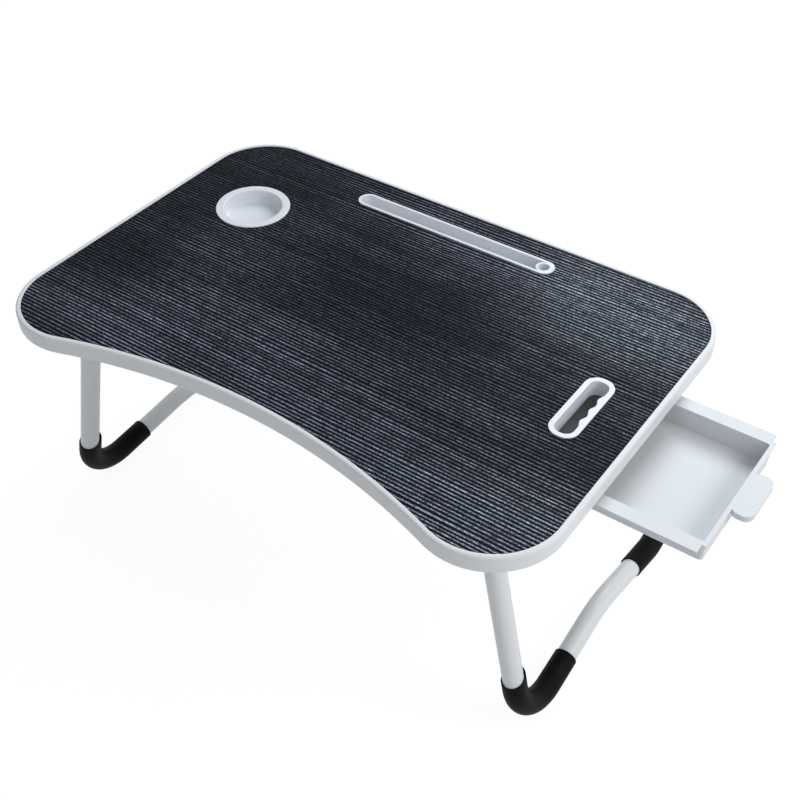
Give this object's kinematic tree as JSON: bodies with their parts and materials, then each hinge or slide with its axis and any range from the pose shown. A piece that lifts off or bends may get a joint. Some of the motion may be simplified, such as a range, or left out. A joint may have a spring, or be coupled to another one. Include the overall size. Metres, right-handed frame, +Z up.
{
  "type": "folding laptop table with side drawer",
  "caption": "Low folding laptop table with a scooped top, cup ring, tablet slot, carry handle, side drawer and bent-tube legs that fold flat.",
  "frame": {"origin": "on the floor, under the middle of the stand's outline with its legs open and its drawer out as in the rest pose", "axes": "+X along the top towards the drawer, +Y to the back edge with the tablet slot, +Z up"},
  "size_m": [0.7106, 0.4048, 0.28],
  "materials": {
    "particle_board": "raw board, hidden",
    "dark_grain_laminate": "satin sheet, charcoal with fine pale grain lines along the table",
    "white_edge_band": "satin white",
    "white_moulding": "half-gloss white",
    "white_paint": "smooth white powder coat on steel",
    "black_rubber": "matt black",
    "zinc_steel": "zinc-plated",
    "white_bracket_plastic": "matt moulded white",
    "white_drawer_plastic": "satin moulded white"
  },
  "bodies": {
    "table": {"board": "particle_board", "top_laminate": "dark_grain_laminate", "edge_band": "white_edge_band", "cup_holder": "white_moulding", "tablet_slot": "white_moulding", "handle_insert": "white_moulding", "left_front_leg_bracket": "white_bracket_plastic", "left_rear_leg_bracket": "white_bracket_plastic", "right_front_leg_bracket": "white_bracket_plastic", "right_rear_leg_bracket": "white_bracket_plastic", "left_front_pivot_pin": "zinc_steel", "left_rear_pivot_pin": "zinc_steel", "right_front_pivot_pin": "zinc_steel", "right_rear_pivot_pin": "zinc_steel", "left_front_bracket_screw_1": "zinc_steel", "left_front_bracket_screw_2": "zinc_steel", "left_front_bracket_screw_3": "zinc_steel", "left_front_bracket_screw_4": "zinc_steel", "left_rear_bracket_screw_1": "zinc_steel", "left_rear_bracket_screw_2": "zinc_steel", "left_rear_bracket_screw_3": "zinc_steel", "left_rear_bracket_screw_4": "zinc_steel", "right_front_bracket_screw_1": "zinc_steel", "right_front_bracket_screw_2": "zinc_steel", "right_front_bracket_screw_3": "zinc_steel", "right_front_bracket_screw_4": "zinc_steel", "right_rear_bracket_screw_1": "zinc_steel", "right_rear_bracket_screw_2": "zinc_steel", "right_rear_bracket_screw_3": "zinc_steel", "right_rear_bracket_screw_4": "zinc_steel", "front_drawer_rail": "white_bracket_plastic", "rear_drawer_rail": "white_bracket_plastic", "front_rail_screw_1": "zinc_steel", "front_rail_screw_2": "zinc_steel", "front_rail_screw_3": "zinc_steel", "rear_rail_screw_1": "zinc_steel", "rear_rail_screw_2": "zinc_steel", "rear_rail_screw_3": "zinc_steel"},
    "left_leg": {"left_leg_tube": "white_paint", "left_leg_front_foot_cover": "black_rubber", "left_leg_rear_foot_cover": "black_rubber"},
    "right_leg": {"right_leg_tube": "white_paint", "right_leg_front_foot_cover": "black_rubber", "right_leg_rear_foot_cover": "black_rubber"},
    "drawer": {"drawer_tray": "white_drawer_plastic"}
  },
  "joints": [
    {"name": "left_leg_fold", "type": "hinge", "parent": "table", "child": "left_leg", "pos_m": [-0.28705, 0.0099, 0.2465], "axis": [0, -1, 0], "range_deg": [0, 102.6]},
    {"name": "right_leg_fold", "type": "hinge", "parent": "table", "child": "right_leg", "pos_m": [0.17655, 0.0099, 0.2465], "axis": [0, 1, 0], "range_deg": [0, 96.2]},
    {"name": "drawer_slide", "type": "slide", "parent": "table", "child": "drawer", "axis": [1, 0, 0], "range_m": [-0.0925, 0.065]}
  ]
}
